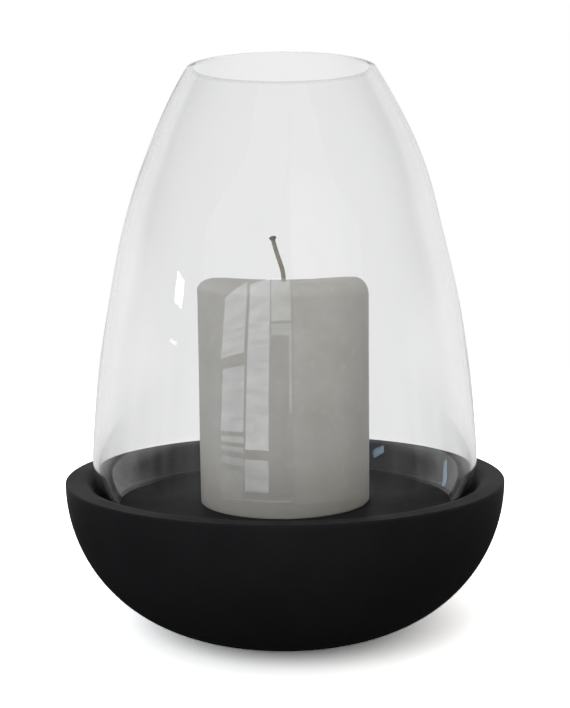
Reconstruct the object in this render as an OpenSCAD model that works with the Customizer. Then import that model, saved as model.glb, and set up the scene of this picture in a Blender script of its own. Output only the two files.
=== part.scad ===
// Garden lantern: a cast stone bowl with a wide flat rim, a blown glass shade that stands in the
// bowl's shallow recess, and a pillar candle that stands inside the shade.
// The shade lifts straight off the bowl, and the candle lifts out of the recess.
// Z = 0 is the surface that the lantern stands on, and the Z axis is the lantern's own axis.

/* [Bowl] */
// Outer diameter of the stone bowl at its rim
bowl_d = 250; // [244:1:256]
// Height of the rim's flat top above the surface that the lantern stands on
rim_h = 87.5; // [86:0.5:89]
// Radius of the arc that the wall follows from the rim downwards
wall_arc_r = 86; // [84:0.5:88]
// How far the wall turns in before the flatter arc of the underside takes over, in degrees
wall_turn = 56; // [52:1:59]
// Diameter of the flat foot
foot_d = 102; // [96:1:104]
// Rounding of the rim's outer edge
outer_edge_r = 1; // [0.5:0.5:2]

/* [Recess] */
// Diameter of the recess that the shade stands in, at its wall
recess_d = 218; // [214:1:222]
// Depth of the recess below the rim's flat top
recess_depth = 16.5; // [14:0.5:20]
// Large rounding between the recess wall and the rim's flat top
inner_edge_r = 8; // [6:0.5:9]
// Fillet between the recess wall and its floor
floor_fillet_r = 3; // [1:0.5:4]

/* [Foot pad] */
// Diameter of the felt pad glued under the foot
pad_d = 84; // [60:1:88]
// How far the pad stands out of the foot
pad_proud = 1.5; // [1:0.25:2]
// Depth of the seat that the pad is glued into
pad_seat = 1; // [0.5:0.25:1.5]
// Gap between the pad's edge and the edge of its seat
pad_gap = 0.5; // [0.3:0.1:1]

/* [Shade] */
// Diameter of the glass shade at its widest
shade_d = 219; // [214:0.5:220]
// Height of the shade
shade_h = 246; // [236:1:256]
// Height of the widest part above the shade's foot
belly_h = 26; // [22:1:30]
// Diameter of the foot edge that stands on the recess floor
shade_foot_d = 200.5; // [197:0.5:202]
// Outer diameter of the open mouth
mouth_d = 106; // [104:0.5:110]
// Thickness of the glass
glass_t = 3; // [2:0.25:3]
// Radius of the arc that rises from the widest part
belly_arc_r = 150; // [130:5:170]
// Angle at which the belly arc meets the flank arc, in degrees
belly_turn = 3.8; // [3:0.1:4.5]
// Radius of the long flank arc
flank_arc_r = 670; // [650:5:690]
// Angle at which the flank arc meets the shoulder arc, in degrees
flank_turn = 15.5; // [14:0.5:17]

/* [Candle] */
// Diameter of the pillar candle
candle_d = 98; // [90:1:98]
// Height of the wax
candle_h = 129; // [100:0.5:150]
// Rounding of the candle's top shoulder
shoulder_r = 8.5; // [6:0.5:12]
// Rounding of the candle's base edge
base_edge_r = 2.5; // [1:0.5:6]
// Width of the shallow dish in the candle's top
dish_d = 74; // [50:1:78]
// Depth of the dish
dish_depth = 3; // [1:0.5:4]

/* [Wick] */
// Thickness of the braided wick
wick_d = 2.6; // [2.5:0.1:3.4]
// Length of wick that stands out of the wax
wick_out = 27.5; // [24:0.5:32]
// Height above the wax at which the wick begins to lean
wick_straight = 3; // [2:0.5:5]
// Radius of the wick's bend
wick_bend_r = 28; // [24:1:30]
// How far the wick leans over, in degrees
wick_lean = 17; // [8:1:20]
// Thickness of the wick's straight end above its bend
end_d = 2.4; // [1.8:0.1:2.4]
// Thickness of the burnt tip
tip_d = 4.2; // [3.6:0.1:4.6]

/* [Wick sustainer] */
// Diameter of the tinned disc that holds the wick at the candle's base
disc_d = 22; // [16:1:28]
// Thickness of the disc
disc_t = 0.5; // [0.4:0.1:0.8]
// Outer diameter of the neck crimped round the wick
neck_d = 5; // [4.6:0.1:6]
// Height of the neck above the disc
neck_h = 6; // [4:0.5:10]
// How far the disc is set up into the wax
disc_inset = 0.3; // [0.2:0.1:0.6]

/* [Hidden] */
$fn = 96;

bowl_r = bowl_d / 2;
recess_r = recess_d / 2;
foot_r = foot_d / 2;
floor_z = rim_h - recess_depth;
candle_r = candle_d / 2;
wick_r = wick_d / 2;
wax_top = floor_z + candle_h - dish_depth;

// A cutter reaches this far past the face that it cuts
over = 1;
// The wick's thinner end starts this far inside its bend
lap = 0.5;

// Unit vector at angle a from +X towards +Z
function dir(a) = [cos(a), sin(a)];

// Angle of the point at height z on an arc
function angle_at(z, centre, r) = asin((z - centre.y) / r);

// Points along an arc from angle a0 in n steps, up to but without the one at a1
function arc_points(centre, r, a0, a1, n) =
    [for (i = [0:n - 1]) centre + r * dir(a0 + (a1 - a0) * i / n)];

function reversed(list) = [for (i = [len(list) - 1:-1:0]) list[i]];

// Radius of the arc that leaves point p at normal angle a and ends at point q
function arc_to(p, a, q) = norm(q - p) ^ 2 / (-2 * (q - p) * dir(a));

// The bowl's wall arc begins upright just below the rounded rim edge
wall_c = [bowl_r - wall_arc_r, rim_h - outer_edge_r];
wall_end = wall_c + wall_arc_r * dir(-wall_turn);
under_r = arc_to(wall_end, -wall_turn, [foot_r, pad_proud]);
under_c = wall_end - under_r * dir(-wall_turn);

// The shade's outline above its foot, as four arcs that run smoothly into each other
shade_r = shade_d / 2;
curl_in = shade_r - shade_foot_d / 2;
curl_r = (belly_h ^ 2 + curl_in ^ 2) / (2 * curl_in);
curl_c = [shade_r - curl_r, belly_h];
belly_c = [shade_r - belly_arc_r, belly_h];
belly_end = belly_c + belly_arc_r * dir(belly_turn);
flank_c = belly_end - flank_arc_r * dir(belly_turn);
flank_end = flank_c + flank_arc_r * dir(flank_turn);
shoulder_arc_r = arc_to(flank_end, flank_turn, [mouth_d / 2, shade_h]);
shoulder_c = flank_end - shoulder_arc_r * dir(flank_turn);
function mouth_point(t) = shoulder_c
    + (shoulder_arc_r - t) * dir(angle_at(shade_h, shoulder_c, shoulder_arc_r - t));

// The region between a square corner and the arc that rounds it, with the corner at [0, 0]
// and the arc towards +X and -Z. It reaches past both faces, to cut an outside corner away.
module corner_cut(r) {
    difference() {
        translate([-over, -r])
            square([r + over, r + over]);
        translate([r, -r])
            circle(r);
        translate([r, -r - over])
            square([over, r + 2 * over]);
    }
}

// The same region without the overrun, to fill an inside corner at [0, 0] towards -X and +Z
module corner_fill(r) {
    difference() {
        translate([-r, 0])
            square(r);
        translate([-r, r])
            circle(r);
    }
}

// The part of a section that lies inside a circle, between heights z0 and z1 and from the axis out
module arc_slab(centre, r, z0, z1) {
    intersection() {
        translate(centre)
            circle(r);
        translate([0, z0])
            square([centre.x + r + over, z1 - z0]);
    }
    if (centre.x > 0)
        translate([0, z0])
            square([centre.x, z1 - z0]);
}

// Half of the bowl's section, before the recess and the pad's seat are cut
module bowl_outline() {
    arc_slab(under_c, under_r, pad_proud, wall_end.y);
    arc_slab(wall_c, wall_arc_r, wall_end.y, wall_c.y);
    difference() {
        translate([0, wall_c.y])
            square([bowl_r, outer_edge_r]);
        translate([bowl_r, rim_h])
            mirror([1, 0])
                corner_cut(outer_edge_r);
    }
}

// Half of the shade's outline from its foot up to its mouth, t inside the glass's outer face
function shade_line(t) = concat(
    arc_points(curl_c, curl_r - t, angle_at(0, curl_c, curl_r - t), 0, 10),
    arc_points(belly_c, belly_arc_r - t, 0, belly_turn, 2),
    arc_points(flank_c, flank_arc_r - t, belly_turn, flank_turn, 8),
    arc_points(shoulder_c, shoulder_arc_r - t,
        flank_turn, angle_at(shade_h, shoulder_c, shoulder_arc_r - t), 8),
    [mouth_point(t)]
);

module stone_bowl() {
    color([0.10, 0.10, 0.11])
        rotate_extrude() {
            difference() {
                bowl_outline();
                translate([0, floor_z])
                    square([recess_r, recess_depth + over]);
                translate([recess_r, rim_h])
                    corner_cut(inner_edge_r);
                square([pad_d / 2 + pad_gap, pad_proud + pad_seat]);
            }
            translate([recess_r, floor_z])
                corner_fill(floor_fillet_r);
        }
}

module foot_pad() {
    color([0.18, 0.18, 0.19])
        cylinder(d = pad_d, h = pad_proud + pad_seat);
}

module glass_shade() {
    color([0.80, 0.88, 0.90, 0.35])
        translate([0, 0, floor_z])
            rotate_extrude()
                polygon(concat(shade_line(0), reversed(shade_line(glass_t))));
}

module candle_wax() {
    dish_r = ((dish_d / 2) ^ 2 + dish_depth ^ 2) / (2 * dish_depth);
    color([0.87, 0.85, 0.80])
        translate([0, 0, floor_z])
            rotate_extrude()
                difference() {
                    square([candle_r, candle_h]);
                    translate([candle_r, candle_h])
                        mirror([1, 0])
                            corner_cut(shoulder_r);
                    translate([candle_r, 0])
                        rotate(180)
                            corner_cut(base_edge_r);
                    translate([0, candle_h + dish_r - dish_depth])
                        circle(dish_r);
                    translate([-over, -over])
                        square([wick_r + over, candle_h + 2 * over]);
                    square([neck_d / 2, disc_inset + disc_t + neck_h]);
                    translate([0, -over])
                        square([disc_d / 2, disc_inset + disc_t + over]);
                }
}

module candle_wick() {
    start_z = floor_z + disc_inset;
    bend_z = wax_top + wick_straight;
    bend_len = wick_bend_r * wick_lean * PI / 180;
    end_len = wick_out - wick_straight - bend_len;
    color([0.42, 0.38, 0.34]) {
        translate([0, 0, start_z])
            cylinder(r = wick_r, h = bend_z - start_z);
        translate([-wick_bend_r, 0, bend_z]) {
            rotate([90, 0, 0])
                rotate_extrude(angle = wick_lean)
                    translate([wick_bend_r, 0])
                        circle(wick_r);
            rotate([0, -wick_lean, 0])
                translate([wick_bend_r, 0, -lap]) {
                    cylinder(d = end_d, h = end_len + lap);
                    translate([0, 0, end_len + lap - tip_d / 2])
                        sphere(d = tip_d);
                }
        }
    }
}

module wick_sustainer() {
    color([0.75, 0.76, 0.78])
        translate([0, 0, floor_z + disc_inset])
            difference() {
                union() {
                    cylinder(d = disc_d, h = disc_t);
                    cylinder(d = neck_d, h = disc_t + neck_h);
                }
                translate([0, 0, -over])
                    cylinder(r = wick_r, h = disc_t + neck_h + 2 * over);
            }
}

stone_bowl();
foot_pad();
glass_shade();
candle_wax();
candle_wick();
wick_sustainer();
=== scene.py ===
"""Candle lantern: a dark cast stone bowl, a blown glass shade and a pillar candle.

All lengths are in metres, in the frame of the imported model: Z up, the lantern's axis on Z, and the
viewer on the -Y side.
"""

import math

import bpy
import numpy as np
from mathutils import Matrix, Vector, noise


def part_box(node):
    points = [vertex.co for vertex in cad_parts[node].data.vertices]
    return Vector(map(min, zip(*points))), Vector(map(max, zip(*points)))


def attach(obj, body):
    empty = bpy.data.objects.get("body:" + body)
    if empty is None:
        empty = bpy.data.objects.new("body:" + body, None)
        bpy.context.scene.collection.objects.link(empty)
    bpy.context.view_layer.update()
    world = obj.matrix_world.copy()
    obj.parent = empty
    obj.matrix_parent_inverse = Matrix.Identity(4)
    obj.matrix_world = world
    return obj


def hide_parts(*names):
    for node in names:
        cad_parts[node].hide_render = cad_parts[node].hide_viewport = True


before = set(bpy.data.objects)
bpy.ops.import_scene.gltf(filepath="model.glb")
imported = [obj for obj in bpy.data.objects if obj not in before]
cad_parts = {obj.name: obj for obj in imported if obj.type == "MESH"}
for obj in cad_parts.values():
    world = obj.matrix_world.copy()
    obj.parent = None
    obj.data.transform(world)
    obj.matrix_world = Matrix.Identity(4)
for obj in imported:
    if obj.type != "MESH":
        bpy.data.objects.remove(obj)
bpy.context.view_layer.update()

MM = 0.001

# ---------------------------------------------------------------- sizes taken from the frame

bowl_low, bowl_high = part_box("stone_bowl")
pad_low, pad_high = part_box("foot_pad")
shade_low, shade_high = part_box("glass_shade")
wax_low, wax_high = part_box("candle_wax")
_, wick_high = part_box("candle_wick")
disc_low, disc_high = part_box("wick_sustainer")

BOWL_R = bowl_high.x
RIM_Z = bowl_high.z
FOOT_Z = bowl_low.z
FLOOR_Z = shade_low.z
PAD_R = pad_high.x
WAX_R = wax_high.x

# ---------------------------------------------------------------- sizes the frame doesn't state

# Bowl, as its arcs run. Turns are in degrees
OUTER_EDGE_R = 1.0 * MM
WALL_ARC_R = 86 * MM
WALL_TURN = 56
FOOT_R = 51 * MM
RECESS_R = 109 * MM
INNER_EDGE_R = 8 * MM
FLOOR_FILLET_R = 3 * MM
PAD_GAP = 0.5 * MM

# Shade, as its arcs run from the foot up
SHADE_R = 109.5 * MM
BELLY_H = 26 * MM
SHADE_FOOT_R = 100.25 * MM
MOUTH_R = 53 * MM
GLASS_T = 3 * MM
BELLY_ARC_R = 150 * MM
BELLY_TURN = 3.8
FLANK_ARC_R = 670 * MM
FLANK_TURN = 15.5
SWAY = 0.45 * MM  # how far the upper wall strays to the side
SWAY_PITCH = 95 * MM  # height over which it strays once each way
SWAY_PEAK = 199 * MM  # height above the foot where it is furthest to the right
POLISH_R = 0.45 * MM  # rounding of the cut edges at the mouth and foot
GLASS_IOR = 1.5

# Candle
SHOULDER_R = 8.5 * MM
BASE_EDGE_R = 2.5 * MM
DISH_R = 37 * MM
DISH_DEPTH = 3 * MM
SADDLE = 2.7 * MM  # how far the rim of the candle's top dips at the front and back
SLUMP_H = 30 * MM  # height of the softened part under the top
LEAN = -0.4 * MM  # how far its top stands to the side of its base
SHOULDER_LEFT = (10.0 * MM, 6.3 * MM)  # how far the rounded shoulder reaches in and down
SHOULDER_RIGHT = (7.8 * MM, 10.5 * MM)
BASE_EDGE_LEFT, BASE_EDGE_RIGHT = 0.5 * MM, 1.8 * MM  # its rounding at the base, worn on the right
CHIP_DEPTH = 0.7 * MM
WAX_INSET = 0.2 * MM  # room for the wax's unevenness inside its solid
WICK_R = 1.3 * MM
WICK_LEAN, WICK_RISE = 18.5, 6  # degrees
TIP_R = 2.1 * MM
NECK_R = 2.5 * MM  # crimped neck of the sustainer


# ---------------------------------------------------------------- outlines

def direction(degrees):
    """Unit vector in the (radius, height) plane."""
    a = math.radians(degrees)
    return np.array([math.cos(a), math.sin(a)])


def arc(centre, radius, start, end, step=1.2 * MM):
    """Points along an arc from angle start to angle end, in degrees, about step apart."""
    count = max(4, math.ceil(abs(math.radians(end - start)) * radius / step))
    return [centre + radius * direction(start + (end - start) * i / count) for i in range(count + 1)]


def line(start, end, step=2.5 * MM):
    """Points along a straight line, about step apart."""
    start, end = np.array(start, float), np.array(end, float)
    count = max(1, math.ceil(np.linalg.norm(end - start) / step))
    return [start + (end - start) * i / count for i in range(count + 1)]


def blend_corner(before, corner, after, count=5):
    """A smooth curve from before to after that turns at the corner."""
    points = []
    for i in range(count + 1):
        t = i / count
        points.append((1 - t) ** 2 * before + 2 * t * (1 - t) * corner + t * t * after)
    return points


def arc_radius_to(start, degrees, end):
    """Radius of the arc that leaves start at that normal angle and ends at end."""
    d = end - start
    return float(d @ d / (-2 * d @ direction(degrees)))


def angle_at(height, centre, radius):
    return math.degrees(math.asin((height - centre[1]) / radius))


def without_repeats(points):
    kept = [points[0]]
    for p in points[1:]:
        if np.linalg.norm(p - kept[-1]) > 1e-6:
            kept.append(p)
    return kept


# ---------------------------------------------------------------- meshes

def mesh_object(name, vertices, faces):
    mesh = bpy.data.meshes.new(name)
    mesh.from_pydata([tuple(v) for v in vertices], [], faces)
    mesh.validate()
    mesh.polygons.foreach_set("use_smooth", [True] * len(mesh.polygons))
    obj = bpy.data.objects.new(name, mesh)
    bpy.context.scene.collection.objects.link(obj)
    return obj


def lathe(name, outline, turns=192, closed=False, shape=None):
    """A solid turned about Z. outline is a list of (radius, height): either it starts and ends on the
    axis, or it is a closed ring. shape(x, y, z, angle, radius) may move each point."""
    outline = without_repeats([np.array(p, float) for p in outline])
    vertices, rings = [], []
    for radius, height in outline:
        count = 1 if radius < 1e-7 else turns
        rings.append(range(len(vertices), len(vertices) + count))
        for i in range(count):
            a = 2 * math.pi * i / turns
            point = (radius * math.cos(a), radius * math.sin(a), height)
            vertices.append(shape(*point, a, radius) if shape else point)
    faces = []
    pairs = list(zip(rings, rings[1:] + rings[:1] if closed else rings[1:]))
    for lower, upper in pairs:
        for i in range(turns):
            j = (i + 1) % turns
            if len(lower) == 1:
                faces.append((lower[0], upper[j], upper[i]))
            elif len(upper) == 1:
                faces.append((lower[i], lower[j], upper[0]))
            else:
                faces.append((lower[i], lower[j], upper[j], upper[i]))
    return mesh_object(name, vertices, faces)


def ripple(x, y, z, size, seed):
    """Smooth noise from -1 to 1 whose lumps are about size across."""
    return noise.noise(Vector((x / size + seed, y / size - seed, z / size + 2 * seed)))


# ---------------------------------------------------------------- materials

class Nodes:
    """A node tree built up a node at a time. place is where its textures are laid."""

    def __init__(self, tree, place="Object"):
        self.tree = tree
        tree.nodes.clear()
        self.place = tree.nodes.new("ShaderNodeTexCoord").outputs[place]

    def link(self, source, target):
        self.tree.links.new(source, target)

    def plug(self, value, socket):
        """Links an output to the socket, or sets the socket to a value."""
        if isinstance(value, bpy.types.NodeSocket):
            self.link(value, socket)
        else:
            socket.default_value = value

    def put(self, kind, settings=None, **inputs):
        """A node with plain settings and inputs: a value is set, and an output is linked."""
        node = self.tree.nodes.new(kind)
        for key, value in (settings or {}).items():
            setattr(node, key, value)
        for key, value in inputs.items():
            self.plug(value, node.inputs[key.replace("_", " ")])
        return node

    def noise(self, scale, detail=2.0, roughness=0.5, distortion=0.0, place=None):
        """Noise with lumps about 1 / scale metres across."""
        return self.put(
            "ShaderNodeTexNoise", Vector=place or self.place, Scale=scale, Detail=detail,
            Roughness=roughness, Distortion=distortion,
        ).outputs["Fac"]

    def stretched(self, x, y, z):
        """The texture's coordinates scaled along each axis, for grain that runs one way."""
        return self.put("ShaderNodeMapping", Vector=self.place, Scale=(x, y, z)).outputs[0]

    def cells(self, scale):
        """Distance from the nearest of points scattered about 1 / scale metres apart."""
        return self.put("ShaderNodeTexVoronoi", Vector=self.place, Scale=scale).outputs["Distance"]

    def ramp(self, value, low, high, to_low=0.0, to_high=1.0):
        """value, mapped smoothly from low..high to to_low..to_high."""
        node = self.put("ShaderNodeMapRange", {"interpolation_type": "SMOOTHSTEP"}, Value=value)
        for key, number in zip((1, 2, 3, 4), (low, high, to_low, to_high)):
            node.inputs[key].default_value = number
        return node.outputs[0]

    def math(self, operation, a, b):
        node = self.put("ShaderNodeMath", {"operation": operation})
        for socket, value in zip(node.inputs, (a, b)):
            self.plug(value, socket)
        return node.outputs[0]

    def mix(self, share, a, b):
        """A colour mix. a and b are colours or colour outputs."""
        node = self.put("ShaderNodeMix", {"data_type": "RGBA"})
        for key, value in ((0, share), (6, a), (7, b)):
            self.plug((*value, 1.0) if isinstance(value, tuple) else value, node.inputs[key])
        return node.outputs[2]

    def choose(self, share, a, b):
        """A number that is a where share is 0, and b where it is 1."""
        node = self.put("ShaderNodeMix")
        for key, value in ((0, share), (2, a), (3, b)):
            self.plug(value, node.inputs[key])
        return node.outputs[0]

    def overlay(self, share, a, b):
        """The shader a where share is 0, and the shader b where it is 1."""
        node = self.put("ShaderNodeMixShader")
        for socket, value in zip(node.inputs, (share, a, b)):
            self.plug(value, socket)
        return node.outputs[0]

    def bump(self, height, distance, under=None):
        """A bump whose full height is distance, laid over another bump if one is given."""
        node = self.put("ShaderNodeBump", Height=height, Distance=distance, Strength=1.0)
        if under:
            self.link(under, node.inputs["Normal"])
        return node.outputs[0]

    def along(self, axis, vector=None):
        """The place, or another vector, along one axis."""
        return self.put("ShaderNodeSeparateXYZ", Vector=vector or self.place).outputs[axis]

    def light_path(self):
        return self.put("ShaderNodeLightPath").outputs


class Shader(Nodes):
    """A material around one Principled shader."""

    def __init__(self, name):
        self.material = bpy.data.materials.new(name)
        self.material.use_nodes = True
        super().__init__(self.material.node_tree)
        self.output = self.put("ShaderNodeOutputMaterial")
        self.principled = self.put("ShaderNodeBsdfPrincipled")
        self.show(self.principled.outputs[0])

    def show(self, shader):
        self.link(shader, self.output.inputs["Surface"])

    def set(self, **inputs):
        for key, value in inputs.items():
            self.plug(value, self.principled.inputs[key.replace("_", " ")])


def cast_stone():
    s = Shader("cast_stone")
    cloud = s.noise(26, detail=5, roughness=0.6)
    grain = s.noise(1500, detail=3, roughness=0.7)
    sand = s.noise(420, detail=2, roughness=0.6)
    colour = s.mix(s.ramp(cloud, 0.3, 0.7), (0.0170, 0.0170, 0.0186), (0.0208, 0.0208, 0.0227))
    colour = s.mix(s.ramp(grain, 0.45, 0.75, 0.0, 0.5), colour, (0.0280, 0.0280, 0.0300))
    # Painted top light: faces that look up, such as the rim and the recess floor, are painted lighter
    # in patches
    facing = s.along("Z", s.put("ShaderNodeNewGeometry").outputs["Normal"])
    painted_top_light = s.math("MULTIPLY", s.ramp(facing, 0.75, 1.0), s.ramp(cloud, 0.2, 0.7, 0.75, 1.0))
    colour = s.mix(painted_top_light, colour, (0.0290, 0.0290, 0.0302))
    speck = s.ramp(s.cells(95), 0.045, 0.065, 1.0, 0.0)
    speck = s.math("MULTIPLY", speck, s.ramp(s.noise(60), 0.60, 0.64))
    colour = s.mix(s.math("MULTIPLY", speck, 0.5), colour, (0.16, 0.16, 0.15))
    s.set(
        Base_Color=colour,
        Roughness=s.ramp(cloud, 0.3, 0.7, 0.48, 0.58),
        Specular_IOR_Level=0.035,
    )
    normal = s.bump(grain, 0.03 * MM)
    s.set(Normal=s.bump(sand, 0.03 * MM, under=normal))
    return s.material


def clear_glass():
    s = Shader("clear_glass")
    smears = s.noise(45, detail=4, roughness=0.65, place=s.stretched(1.0, 1.0, 0.35))
    tint = s.mix(s.ramp(smears, 0.35, 0.7), (0.996, 0.997, 0.999), (0.989, 0.991, 0.994))
    ripples = s.noise(22, detail=1, place=s.stretched(1.0, 1.0, 0.45))
    # The mouth's edge is ground: partly matt, and the light that goes in or out by it isn't bent
    ground = s.ramp(s.along("Z"), shade_high.z - 1.2 * MM, shade_high.z - 0.6 * MM)
    s.set(
        Base_Color=s.mix(ground, tint, (0.97, 0.975, 0.98)),
        Roughness=s.ramp(smears, 0.45, 0.75, 0.0, 0.035),
        Transmission_Weight=1.0,
        IOR=s.choose(ground, GLASS_IOR, 1.0),
        Normal=s.bump(ripples, 0.12 * MM),
    )
    # The value set above stays under the link, and marks the material as glass for the exporter
    s.set(Transmission_Weight=s.choose(ground, 1.0, 0.76))
    # Lamps and light bounced off the candle and bowl pass straight through the thin wall
    clear = s.put("ShaderNodeBsdfTransparent", Color=(0.93, 0.935, 0.935, 1.0)).outputs[0]
    path = s.light_path()
    shaded = s.overlay(path["Is Shadow Ray"], s.principled.outputs[0], clear)
    s.show(s.overlay(path["Is Diffuse Ray"], shaded, clear))
    return s.material


def candle_wax():
    s = Shader("candle_wax")
    cloud = s.noise(30, detail=4, roughness=0.55)
    frost = s.noise(210, detail=3, roughness=0.6)
    colour = s.mix(s.ramp(cloud, 0.32, 0.68), (0.622, 0.603, 0.565), (0.675, 0.655, 0.622))
    colour = s.mix(s.ramp(frost, 0.52, 0.72, 0.0, 0.5), colour, (0.735, 0.718, 0.695))
    # Darker and yellower towards its base, most of all on the right
    low = s.ramp(s.along("Z"), wax_low.z, wax_low.z + 45 * MM, 0.7, 0.0)
    side = s.ramp(s.along("X"), 10 * MM, 45 * MM, 0.35, 1.0)
    low_right_tint = s.math("MULTIPLY", s.math("MULTIPLY", low, side), s.ramp(cloud, 0.38, 0.58))
    colour = s.mix(low_right_tint, colour, (0.58, 0.54, 0.44))
    s.set(
        Base_Color=colour,
        Roughness=s.ramp(frost, 0.35, 0.7, 0.46, 0.58),
        Specular_IOR_Level=0.40,
        IOR=1.44,
        Subsurface_Weight=0.55,
        Subsurface_Scale=0.006,
        Subsurface_Radius=(1.0, 0.85, 0.6),
    )
    normal = s.bump(frost, 0.012 * MM)
    s.set(Normal=s.bump(s.noise(55, detail=1), 0.12 * MM, under=normal))
    return s.material


def cotton_wick():
    s = Shader("cotton_wick")
    fibre = s.noise(2600, detail=2, roughness=0.6, place=s.stretched(1.0, 1.0, 0.3))
    blotch = s.noise(300, detail=3)
    colour = s.mix(s.ramp(blotch, 0.35, 0.65), (0.40, 0.365, 0.285), (0.50, 0.465, 0.385))
    tip_z = wick_high.z
    scorch = s.ramp(s.along("Z"), tip_z - 4 * MM, tip_z - 0.5 * MM)
    colour = s.mix(s.math("MULTIPLY", scorch, s.ramp(blotch, 0.25, 0.6, 0.5, 1.0)),
                   colour, (0.17, 0.155, 0.135))
    s.set(Base_Color=colour, Roughness=s.ramp(fibre, 0.3, 0.7, 0.6, 0.9), Specular_IOR_Level=0.3)
    s.set(Normal=s.bump(fibre, 0.06 * MM))
    return s.material


def felt():
    s = Shader("felt")
    fibre = s.noise(1800, detail=4, roughness=0.75, distortion=1.5)
    colour = s.mix(s.ramp(fibre, 0.3, 0.7), (0.020, 0.020, 0.022), (0.055, 0.055, 0.058))
    s.set(Base_Color=colour, Roughness=s.ramp(fibre, 0.3, 0.7, 0.85, 1.0), Sheen_Weight=0.35)
    s.set(Normal=s.bump(fibre, 0.25 * MM))
    return s.material


def tinned_steel():
    s = Shader("tinned_steel")
    scratches = s.noise(900, detail=3, place=s.stretched(1.0, 0.06, 1.0))
    cloud = s.noise(260, detail=3)
    colour = s.mix(s.ramp(cloud, 0.3, 0.7), (0.58, 0.59, 0.60), (0.68, 0.69, 0.70))
    s.set(Base_Color=colour, Metallic=1.0, Roughness=s.ramp(scratches, 0.3, 0.7, 0.26, 0.42))
    s.set(Normal=s.bump(scratches, 0.01 * MM))
    return s.material


def pale_floor():
    """Pale board that fades into the white background, left out behind glass and in reflections."""
    s = Shader("pale_floor")
    s.tree.nodes.remove(s.principled)
    path = s.light_path()
    cloud = s.noise(5, detail=4)
    seen = s.mix(s.ramp(cloud, 0.3, 0.7), (FLOOR_SEEN,) * 3, (FLOOR_SEEN * 1.02,) * 3)
    colour = s.mix(path["Is Diffuse Ray"], seen, (FLOOR_BOUNCE,) * 3)
    board = s.put("ShaderNodeBsdfDiffuse", Color=colour).outputs[0]
    clear = s.put("ShaderNodeBsdfTransparent").outputs[0]
    distance = s.put("ShaderNodeVectorMath", {"operation": "LENGTH"}, Vector=s.place).outputs["Value"]
    behind = s.math("ADD", path["Glossy Depth"], path["Transmission Depth"])
    board = s.overlay(s.ramp(distance, 0.35, 1.3), board, clear)
    s.show(s.overlay(s.ramp(behind, 0.0, 0.5), board, clear))
    return s.material


def window_light():
    """Daylight of each pane's own radiance, with faint bands in it: cool from the windows, warm from
    the wall to the right of them, and blue from the pane at the far right."""
    s = Shader("window_light")
    s.tree.nodes.remove(s.principled)
    strength = s.put("ShaderNodeAttribute", {"attribute_name": "radiance"}).outputs["Fac"]
    bands = s.noise(7, detail=3, roughness=0.7, place=s.stretched(0.6, 1.0, 7.0))
    strength = s.math("MULTIPLY", strength, s.ramp(bands, 0.35, 0.65, 0.78, 1.24))
    colour = s.mix(s.ramp(bands, 0.4, 0.6), (0.85, 0.93, 1.0), (0.95, 0.98, 1.0))
    x = s.along("X")
    colour = s.mix(s.ramp(x, 0.06, 0.09), colour, (1.0, 0.945, 0.86))
    colour = s.mix(s.ramp(x, 0.7, 1.0), colour, (0.55, 0.78, 1.0))
    s.show(s.put("ShaderNodeEmission", Color=colour, Strength=strength).outputs[0])
    s.material.cycles.emission_sampling = "NONE"
    return s.material


# ---------------------------------------------------------------- pieces

def add_piece(obj, body, node, material):
    obj.data.materials.append(material)
    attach(obj, body)
    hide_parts(node)


def bowl_outline():
    wall_c = np.array([BOWL_R - WALL_ARC_R, RIM_Z - OUTER_EDGE_R])
    wall_end = wall_c + WALL_ARC_R * direction(-WALL_TURN)
    foot = np.array([FOOT_R, FOOT_Z])
    under_r = arc_radius_to(wall_end, -WALL_TURN, foot)
    under_c = wall_end - under_r * direction(-WALL_TURN)
    seat_r = PAD_R + PAD_GAP
    points = line((0, pad_high.z), (seat_r, pad_high.z), 6 * MM)
    points += line((seat_r, FOOT_Z), (FOOT_R - 0.6 * MM, FOOT_Z))
    points += arc(under_c, under_r, angle_at(FOOT_Z + 0.2 * MM, under_c, under_r), -WALL_TURN)
    points += arc(wall_c, WALL_ARC_R, -WALL_TURN, 0)
    points += arc(np.array([BOWL_R - OUTER_EDGE_R, RIM_Z - OUTER_EDGE_R]), OUTER_EDGE_R, 0, 90)
    points += line((BOWL_R - OUTER_EDGE_R, RIM_Z), (RECESS_R + INNER_EDGE_R, RIM_Z), 1.2 * MM)
    points += arc(np.array([RECESS_R + INNER_EDGE_R, RIM_Z - INNER_EDGE_R]), INNER_EDGE_R, 90, 180)
    fillet_c = np.array([RECESS_R - FLOOR_FILLET_R, FLOOR_Z + FLOOR_FILLET_R])
    points += arc(fillet_c, FLOOR_FILLET_R, 0, -90, 0.5 * MM)
    points += line((RECESS_R - FLOOR_FILLET_R, FLOOR_Z), (0, FLOOR_Z), 3 * MM)
    return points


def bowl_shape(x, y, z, angle, radius):
    """The casting is a little uneven: its wall and rim wander by a few hundredths of a millimetre."""
    if radius < 1e-6 or z < FOOT_Z + 1 * MM:
        return (x, y, z)
    sink = 0.07 * MM * (1 + ripple(x, y, z, 38 * MM, 3.1)) / 2
    sink += 0.03 * MM * (1 + ripple(x, y, z, 11 * MM, 7.7)) / 2
    outer = z < RIM_Z - 0.5 * MM and radius > RECESS_R + 0.5 * INNER_EDGE_R
    if outer or radius > BOWL_R - OUTER_EDGE_R:
        scale = 1 - sink / radius
        return (x * scale, y * scale, z)
    return (x, y, z - sink * (z > FLOOR_Z + FLOOR_FILLET_R))


def make_bowl():
    obj = lathe("stone_bowl_casting", bowl_outline(), turns=256, shape=bowl_shape)
    add_piece(obj, "bowl", "stone_bowl", cast_stone())


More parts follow.
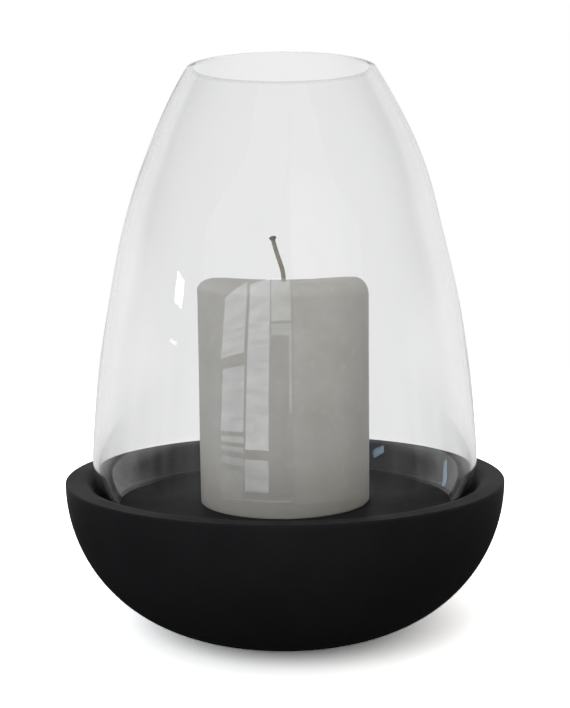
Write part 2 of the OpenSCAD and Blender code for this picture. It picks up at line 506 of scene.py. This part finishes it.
def shade_line(inset):
    """The shade's outline from its foot up to its mouth, inset from the outer face."""
    base = np.array([0, FLOOR_Z])
    curl_in = SHADE_R - SHADE_FOOT_R
    curl_r = (BELLY_H**2 + curl_in**2) / (2 * curl_in)
    curl_c = base + [SHADE_R - curl_r, BELLY_H]
    belly_c = base + [SHADE_R - BELLY_ARC_R, BELLY_H]
    belly_end = belly_c + BELLY_ARC_R * direction(BELLY_TURN)
    flank_c = belly_end - FLANK_ARC_R * direction(BELLY_TURN)
    flank_end = flank_c + FLANK_ARC_R * direction(FLANK_TURN)
    mouth = np.array([MOUTH_R, shade_high.z])
    shoulder_r = arc_radius_to(flank_end, FLANK_TURN, mouth)
    shoulder_c = flank_end - shoulder_r * direction(FLANK_TURN)
    points = arc(curl_c, curl_r - inset, angle_at(FLOOR_Z, curl_c, curl_r - inset), 0, 1.5 * MM)
    points += arc(belly_c, BELLY_ARC_R - inset, 0, BELLY_TURN, 3.5 * MM)
    points += arc(flank_c, FLANK_ARC_R - inset, BELLY_TURN, FLANK_TURN, 3.5 * MM)
    end = angle_at(shade_high.z, shoulder_c, shoulder_r - inset)
    points += arc(shoulder_c, shoulder_r - inset, FLANK_TURN, end, 3 * MM)
    return without_repeats(points)


def polished_end(outer, inner):
    """The rounded edge that joins the two faces. outer and inner each end at the cut edge."""
    across = (inner[-1] - outer[-1]) / np.linalg.norm(inner[-1] - outer[-1])
    back_out = (outer[-2] - outer[-1]) / np.linalg.norm(outer[-2] - outer[-1])
    back_in = (inner[-2] - inner[-1]) / np.linalg.norm(inner[-2] - inner[-1])
    hold = POLISH_R + 0.08 * MM  # keeps the smooth shading of the flat faces flat
    points = [outer[-1] + hold * back_out]
    points += blend_corner(outer[-1] + POLISH_R * back_out, outer[-1], outer[-1] + POLISH_R * across)
    points += [outer[-1] + hold * across, inner[-1] - hold * across]
    points += blend_corner(inner[-1] - POLISH_R * across, inner[-1], inner[-1] + POLISH_R * back_in)
    return points + [inner[-1] + hold * back_in]


def shade_outline():
    outer, inner = shade_line(0), shade_line(GLASS_T)
    mouth = polished_end(outer, inner)
    foot = polished_end(inner[::-1], outer[::-1])
    return outer[1:-1] + mouth + inner[1:-1][::-1] + foot


def shade_shape(x, y, z, angle, radius):
    """Blown by mouth: the wall sways very slightly from side to side up its height."""
    up = (z - FLOOR_Z) / (shade_high.z - FLOOR_Z)
    sway = SWAY * min(1.0, max(0.0, (up - 0.35) / 0.25))
    turn = 2 * math.pi * (z - FLOOR_Z - SWAY_PEAK) / SWAY_PITCH
    return (x + sway * math.cos(turn), y + 0.6 * sway * math.sin(turn), z)


def make_shade():
    obj = lathe("blown_glass_shade", shade_outline(), turns=480, closed=True, shape=shade_shape)
    add_piece(obj, "shade", "glass_shade", clear_glass())


def wax_outline():
    radius = WAX_R - WAX_INSET
    top = wax_high.z
    sphere_r = (DISH_R**2 + DISH_DEPTH**2) / (2 * DISH_DEPTH)
    seat_r, seat_z = disc_high.x + 0.2 * MM, disc_low.z + 0.6 * MM
    points = [(WICK_R * 0.5, disc_high.z), (NECK_R, disc_high.z), (NECK_R, seat_z), (seat_r, seat_z)]
    points += line((seat_r, wax_low.z), (radius - BASE_EDGE_R, wax_low.z))
    base_edge_c = np.array([radius - BASE_EDGE_R, wax_low.z + BASE_EDGE_R])
    points += arc(base_edge_c, BASE_EDGE_R, -90, 0, 0.7 * MM)
    points += line((radius, wax_low.z + BASE_EDGE_R), (radius, top - SHOULDER_R), 2.2 * MM)
    points += arc(np.array([radius - SHOULDER_R, top - SHOULDER_R]), SHOULDER_R, 0, 90, 0.9 * MM)
    points += line((radius - SHOULDER_R, top), (DISH_R + 1 * MM, top), 1 * MM)
    rings = 23
    for i in range(rings + 1):
        r = DISH_R * (1 - i / rings) + WICK_R * 0.5 * (i / rings)
        dish = top + sphere_r - DISH_DEPTH - math.sqrt(sphere_r**2 - r * r)
        cling = 0.9 * MM * math.exp(-((max(r, WICK_R) - WICK_R) / (1.4 * MM)))
        points.append((r, dish + cling))
    return points


def slumped(radius, z, angle):
    """Radius and height of a point of the wax's plain outline, once the shoulder has slumped by
    more on one side than on the other and the edge of the base has worn round on the right."""
    top, side = wax_high.z, WAX_R - WAX_INSET
    right = (1 + math.cos(angle)) / 2
    across = SHOULDER_LEFT[0] + (SHOULDER_RIGHT[0] - SHOULDER_LEFT[0]) * right
    down = SHOULDER_LEFT[1] + (SHOULDER_RIGHT[1] - SHOULDER_LEFT[1]) * right
    foot_z, start_z = wax_low.z + BASE_EDGE_R, top - SHOULDER_R
    near = 0.1 * MM
    if z < foot_z + near and radius > side - BASE_EDGE_R - near:
        worn = max(0.0, math.cos(angle + math.radians(20))) ** 2
        edge = BASE_EDGE_LEFT + (BASE_EDGE_RIGHT - BASE_EDGE_LEFT) * worn
        scale = edge / BASE_EDGE_R
        return (side - scale * (side - radius), wax_low.z + scale * (z - wax_low.z))
    if z > start_z - near and radius > side - SHOULDER_R:
        return (side - across * (side - radius) / SHOULDER_R, top - down * (top - z) / SHOULDER_R)
    if z > start_z and radius > 5 * MM:
        return (radius * (side - across) / (side - SHOULDER_R), z)
    if z > foot_z and radius > side - near:
        return (radius, foot_z + (z - foot_z) * (top - down - foot_z) / (start_z - foot_z))
    return (radius, z)


def wax_shape(x, y, z, angle, radius):
    """The soft top dips front and back, the side is uneven, and the base is chipped on the right."""
    if radius < WICK_R:
        return (x, y, z)
    top, side = wax_high.z, WAX_R - WAX_INSET
    left = (1 - math.cos(angle)) / 2
    new_r, new_z = slumped(radius, z, angle)
    near_top = min(1.0, max(0.0, (new_z - (top - SLUMP_H)) / SLUMP_H))
    dip = SADDLE * math.sin(angle) ** 2 * near_top**2 * min(1.0, radius / (side - SHOULDER_R)) ** 2
    uneven = 0.12 * MM * ripple(x, y, 0, 12 * MM, 9.2) * near_top**2
    if radius > 0.6 * side and z > wax_low.z + 1 * MM:
        new_r += 0.14 * MM * ripple(x, y, z, 26 * MM, 4.4) + 0.05 * MM * ripple(x, y, z, 9 * MM, 1.3)
        bulge = math.exp(-(((top - new_z) / MM - 7) / 2) ** 2)
        new_r += 0.25 * MM * left**2 * bulge
    if radius > 0.9 * side:
        chip = max(0.0, ripple(x, y, z, 5 * MM, 6.6) - 0.15)
        chip *= max(0.0, math.cos(angle + math.radians(25)))
        new_r -= CHIP_DEPTH * chip * math.exp(-(((new_z - wax_low.z) / (5 * MM)) ** 2))
    shift = LEAN * (z - wax_low.z) / (top - wax_low.z) * min(1.0, radius / (12 * MM))
    return (new_r * math.cos(angle) + shift, new_r * math.sin(angle), new_z - dip + min(0.0, uneven))


def make_wax():
    obj = lathe("pillar_candle_wax", wax_outline(), turns=160, closed=True, shape=wax_shape)
    add_piece(obj, "candle", "candle_wax", candle_wax())


def wick_lean(run):
    """Lean of the wick in degrees, that far along from the wax: it leans over, then rises again."""
    over = min(1.0, run / (11 * MM))
    back = min(1.0, max(0.0, (run - 15 * MM) / (12 * MM)))
    return WICK_LEAN * (3 * over**2 - 2 * over**3) - WICK_RISE * (3 * back**2 - 2 * back**3)


def wick_path():
    """Centre points of the wick with its lean there, from the sustainer to its tip."""
    wax_top = wax_high.z - DISH_DEPTH
    path = [(np.array([0.0, z]), 0.0) for z in np.arange(disc_low.z, wax_top, 0.6 * MM)]
    point, run, step = np.array([0.0, wax_top]), 0.0, 0.3 * MM
    while point[1] < wick_high.z - 0.4 * MM:
        path.append((point, wick_lean(run)))
        lean = math.radians(wick_lean(run + step / 2))
        point = point + step * np.array([-math.sin(lean), math.cos(lean)])
        run += step
    return path


def wick_radius(left):
    """Radius of the wick where that much length is left to its tip: the burnt tip mushrooms out."""
    body = WICK_R * (0.93 + 0.07 * min(1.0, left / (20 * MM)))
    flare = (TIP_R - body) / (1 + math.exp((left - 1.9 * MM) / (0.22 * MM)))
    rounding = 1 - max(0.0, 1 - left / (0.7 * MM)) ** 2.2
    return max(0.05 * MM, (body + flare) * rounding)


def make_wick():
    around, strands, pitch = 28, 3, 5.5 * MM
    path = wick_path()
    steps = [0.0]
    for (a, _), (b, _) in zip(path, path[1:]):
        steps.append(steps[-1] + float(np.linalg.norm(b - a)))
    vertices, faces = [], []
    for (centre, lean), run in zip(path, steps):
        side = np.array([math.cos(math.radians(lean)), math.sin(math.radians(lean))])
        radius = wick_radius(steps[-1] - run)
        for i in range(around):
            a = 2 * math.pi * i / around
            twist = 2 * math.pi * run / pitch
            weave = math.cos(strands * a + twist) * math.cos(strands * a - twist)
            r = radius * (0.95 + 0.06 * weave)
            x, z = centre + side * r * math.cos(a)
            vertices.append((x, r * math.sin(a), z))
    for k in range(len(path) - 1):
        for i in range(around):
            j = (i + 1) % around
            faces.append((k * around + i, k * around + j, (k + 1) * around + j, (k + 1) * around + i))
    faces.append(tuple(range(around))[::-1])
    last = (len(path) - 1) * around
    faces.append(tuple(last + i for i in range(around)))
    obj = mesh_object("braided_wick", vertices, faces)
    add_piece(obj, "candle", "candle_wick", cotton_wick())


def make_sustainer():
    radius, low, top = disc_high.x, disc_low.z, disc_high.z
    thick = 0.5 * MM
    plate = low + thick
    rib, rib_r, rib_w = 0.12 * MM, 5.5 * MM, 1.0 * MM
    bore, neck = WICK_R, NECK_R
    points = [(bore, low), (neck, low)]
    points += [(rib_r - rib_w, low), (rib_r, low + rib), (rib_r + rib_w, low)]
    points += [(radius - 0.25 * MM, low), (radius, low + 0.15 * MM)]
    points += [(radius, plate - 0.15 * MM), (radius - 0.25 * MM, plate)]
    points += [(rib_r + rib_w, plate), (rib_r, plate - rib), (rib_r - rib_w, plate)]
    points += [(neck + 0.4 * MM, plate), (neck, plate + 0.4 * MM)]
    points += [(neck, z) for z in np.linspace(plate + 0.8 * MM, top - 0.3 * MM, 8)]
    points += [(neck - 0.3 * MM, top), (bore + 0.2 * MM, top), (bore, top - 0.2 * MM)]

    def crimp(x, y, z, angle, r):
        """Six dents squeeze the middle of the neck on to the wick."""
        level = (z - plate) / (top - plate)
        if not 0.1 < level < 0.95 or r < neck - 0.1 * MM:
            return (x, y, z)
        dent = 0.35 * MM * max(0.0, math.cos(6 * angle)) * math.sin(math.pi * level)
        return (x * (1 - dent / r), y * (1 - dent / r), z)

    obj = lathe("wick_sustainer_disc", points, turns=96, closed=True, shape=crimp)
    add_piece(obj, "candle", "wick_sustainer", tinned_steel())


def make_pad():
    edge, fuzz_depth = 0.5 * MM, 0.15 * MM
    low, top = pad_low.z, pad_high.z
    points = line((0, low), (PAD_R - edge, low), 3 * MM)
    points += arc(np.array([PAD_R - edge, low + edge]), edge, -90, 0, 0.2 * MM)
    points += line((PAD_R, low + edge), (PAD_R, top), 0.6 * MM)
    points += line((PAD_R, top), (0, top), 6 * MM)

    def fuzz(x, y, z, angle, r):
        """The felt's cut side is a little ragged."""
        scale = 1 - fuzz_depth * (1 + ripple(x, y, z, 2 * MM, 5.5)) / 2 / max(r, PAD_R / 2)
        return (x * scale, y * scale, z)

    obj = lathe("felt_foot_pad", points, turns=160, shape=fuzz)
    add_piece(obj, "bowl", "foot_pad", felt())


# ---------------------------------------------------------------- camera, floor and light

CAMERA_BACK = 630.6 * MM
CAMERA_RIGHT = -4.5 * MM
CAMERA_UP = 128.3 * MM  # above the bowl's rim
CAMERA_PITCH, CAMERA_YAW, CAMERA_ROLL = 5.40, 0.454, -0.42  # degrees
CAMERA_LENS = 56.1  # millimetres, on a sensor 36 mm along the picture's long side

# Radiance of the surroundings, where the white background is 1. THROUGH_GLASS is the background
# behind glass, ROOM is what glass and stone mirror, and WASH is what lights matt faces
THROUGH_GLASS = 0.915
ROOM_DARK, ROOM_LIGHT, ROOM_LOW, ROOM_UNDER = 0.08, 0.45, 0.16, 0.03
ROOM_BACK, ROOM_TOP, ROOM_SIDE = 0.86, 0.78, 0.24
WASH_LEFT, WASH_RIGHT, WASH_TOP, WASH_UNDER = 0.80, 0.54, 0.34, 0.2
OVERHEAD, KEY = 0.08, 1.7

# Reflectance of the floor where it is seen, more than 1 so that shadows on it stay faint, and
# where it lights the lantern from below
FLOOR_SEEN, FLOOR_BOUNCE = 4.0, 0.12

# What the glass mirrors: windows, with slats and a bluish pane, and a lit wall stand in one plane
# in front of the lantern, and small panels stand at its sides
WINDOW_Y = -0.95
WINDOW_PANES = [  # left, right, low, high, radiance
    (-0.71, -0.41, 0.37, 0.57, 3.6),
    (-0.67, -0.395, 0.155, 0.33, 3.8),
    (-0.66, -0.39, 0.125, 0.142, 2.8),
    (-0.66, -0.39, 0.10, 0.114, 2.2),
    (-0.66, -0.39, 0.065, 0.085, 1.5),
    (-0.66, -0.40, -0.13, 0.05, 0.8),
    (-0.372, -0.15, 0.11, 0.56, 4.3),
    (-0.372, -0.15, -0.06, 0.085, 2.8),
    (-0.135, 0.06, 0.455, 0.56, 3.0),
    (-0.135, 0.06, 0.41, 0.445, 2.6),
    (0.035, 0.06, 0.20, 0.41, 2.4),
    (-0.66, 0.05, -0.19, -0.155, 1.6),
    (1.06, 1.38, 0.045, 0.075, 4.5),
]
WALL_LEFT, WALL_MIDDLE, WALL_RIGHT = 0.08, 0.55, 1.10
WALL_LEVELS = (-0.25, 0.04, 0.38, 0.58, 1.10)
WALL_RADIANCE = [(0.55, 0.6, 1.3, 1.1, 0.3), (0.5, 0.6, 1.1, 0.9, 0.3), (0.2,) * 5]  # left to right
SIDE_PANELS = [  # azimuth and height of the middle, distance, width, height, radiance
    (-70, 0.75, 2.05, 0.23, 0.095, 9.0),
    (-70, 0.535, 2.05, 0.19, 0.022, 5.0),
    (100, -0.13, 1.05, 0.07, 0.24, 2.4),
]


def make_camera():
    data = bpy.data.cameras.new("camera")
    data.lens = CAMERA_LENS
    data.sensor_width = 36
    data.sensor_fit = "AUTO"
    data.clip_start = 0.01
    data.clip_end = 50
    camera = bpy.data.objects.new("camera", data)
    bpy.context.scene.collection.objects.link(camera)
    turn = Matrix.Rotation(math.radians(-CAMERA_YAW), 4, "Z")
    tilt = Matrix.Rotation(math.radians(90 - CAMERA_PITCH), 4, "X")
    roll = Matrix.Rotation(math.radians(CAMERA_ROLL), 4, "Z")
    place = Matrix.Translation((CAMERA_RIGHT, -CAMERA_BACK, RIM_Z + CAMERA_UP))
    camera.matrix_world = place @ turn @ tilt @ roll
    bpy.context.scene.camera = camera


def make_floor():
    size = 3.0
    corners = [(-size, -size, 0), (size, -size, 0), (size, size, 0), (-size, size, 0)]
    floor = mesh_object("floor", corners, [(0, 1, 2, 3)])
    floor.data.materials.append(pale_floor())


def make_world():
    """White all round, with a dimmer room for the glass and stone to mirror, and a wash of light,
    cool from the left and warm from the right, for matt faces."""
    world = bpy.data.worlds.new("studio")
    bpy.context.scene.world = world
    world.use_nodes = True
    w = Nodes(world.node_tree, place="Generated")
    x, y, z = (w.along(axis) for axis in "XYZ")
    path = w.light_path()
    streaks = w.noise(1.4, detail=3, place=w.stretched(3.0, 3.0, 0.4))
    room = w.ramp(streaks, 0.35, 0.68, ROOM_DARK, ROOM_LIGHT)
    room = w.choose(w.ramp(z, -0.22, 0.0), w.ramp(streaks, 0.35, 0.68, ROOM_UNDER, ROOM_LOW), room)
    # The back of the room is light, and less of it is the lower it is
    behind = w.math("ADD", y, w.math("MULTIPLY", w.math("MINIMUM", z, 0.1), 3.0))
    room = w.choose(w.ramp(behind, -0.1, 0.5), room, ROOM_BACK)
    room = w.choose(w.ramp(z, 0.08, 0.32), room, w.ramp(y, 0.25, 0.8, ROOM_SIDE, ROOM_TOP))
    room = w.choose(w.ramp(z, -0.45, -0.25), ROOM_UNDER, room)
    wash = w.ramp(x, -0.8, 0.8, WASH_LEFT, WASH_RIGHT)
    wash = w.choose(w.ramp(z, -0.1, 0.9), wash, WASH_TOP)
    wash = w.choose(w.ramp(z, -0.35, -0.05), WASH_UNDER, wash)
    level = w.choose(w.ramp(path["Transmission Depth"], 0.0, 0.5), 1.0, THROUGH_GLASS)
    level = w.choose(w.ramp(path["Glossy Depth"], 0.0, 0.5), level, room)
    level = w.choose(path["Is Diffuse Ray"], level, wash)
    shade = w.mix(w.ramp(x, -0.6, 0.6), (0.955, 0.98, 1.0), (1.0, 0.98, 0.945))
    colour = w.mix(path["Is Diffuse Ray"], (1.0, 1.0, 1.0), shade)
    background = w.put("ShaderNodeBackground", Color=colour, Strength=level)
    w.link(background.outputs[0], w.put("ShaderNodeOutputWorld").inputs["Surface"])


def make_softbox(name, place, aim, size, radiance):
    """A square panel light that lights matt faces and isn't mirrored."""
    data = bpy.data.lights.new(name, "AREA")
    data.size = size
    data.energy = radiance * math.pi * size**2
    light = bpy.data.objects.new(name, data)
    bpy.context.scene.collection.objects.link(light)
    light.location = place
    light.rotation_euler = (Vector(aim) - Vector(place)).to_track_quat("-Z", "Y").to_euler()
    light.visible_camera = False
    light.visible_transmission = False
    light.visible_glossy = False


def pane_quads():
    """Each window pane: its corners, and their radiance."""
    quads = []
    for left, right, low, high, radiance in WINDOW_PANES:
        outline = ((left, low), (right, low), (right, high), (left, high))
        quads.append(([(x, WINDOW_Y, z) for x, z in outline], [radiance] * 4))
    return quads


def wall_quads():
    """The lit wall, whose radiance changes smoothly from column to column and level to level."""
    quads = []
    columns = list(zip((WALL_LEFT, WALL_MIDDLE, WALL_RIGHT), WALL_RADIANCE))
    for (left, at_left), (right, at_right) in zip(columns, columns[1:]):
        for i in range(len(WALL_LEVELS) - 1):
            ring = ((left, i, at_left), (right, i, at_right))
            ring += ((right, i + 1, at_right), (left, i + 1, at_left))
            corners = [(x, WINDOW_Y, WALL_LEVELS[k]) for x, k, _ in ring]
            quads.append((corners, [values[k] for _, k, values in ring]))
    return quads


def side_quads():
    """Each small panel at the lantern's sides, which faces its axis."""
    quads = []
    for azimuth, height, distance, width, tall, radiance in SIDE_PANELS:
        a = math.radians(azimuth)
        out = Vector((math.sin(a), -math.cos(a), 0))
        across = Vector((math.cos(a), math.sin(a), 0)) * width / 2
        up = Vector((0, 0, tall / 2))
        middle = out * distance + Vector((0, 0, height))
        low_left, low_right = middle - across - up, middle + across - up
        quads.append(([low_left, low_right, low_right + 2 * up, low_left + 2 * up], [radiance] * 4))
    return quads


def make_windows():
    """Panes and a lit wall that are seen only where something mirrors them."""
    quads = pane_quads() + wall_quads() + side_quads()
    corners = [corner for quad, _ in quads for corner in quad]
    obj = mesh_object("windows", corners, [range(4 * i, 4 * i + 4) for i in range(len(quads))])
    strength = obj.data.attributes.new("radiance", "FLOAT", "POINT")
    strength.data.foreach_set("value", [value for _, values in quads for value in values])
    obj.data.materials.append(window_light())
    obj.visible_camera = False
    obj.visible_diffuse = False
    obj.visible_transmission = False
    obj.visible_shadow = False


def make_lights():
    """A weak panel overhead, and a stronger one at the viewer's upper left."""
    lantern = (0, 0, 150 * MM)
    make_softbox("overhead_softbox", (0.1, 0.1, 1.3), lantern, 1.2, OVERHEAD)
    make_softbox("key_softbox", (-0.45, -1.05, 0.7), lantern, 0.7, KEY)


make_camera()
make_bowl()
make_pad()
make_shade()
make_wax()
make_wick()
make_sustainer()
make_floor()
make_world()
make_windows()
make_lights()

scene = bpy.context.scene
scene.view_settings.view_transform = "Standard"
scene.view_settings.look = "None"
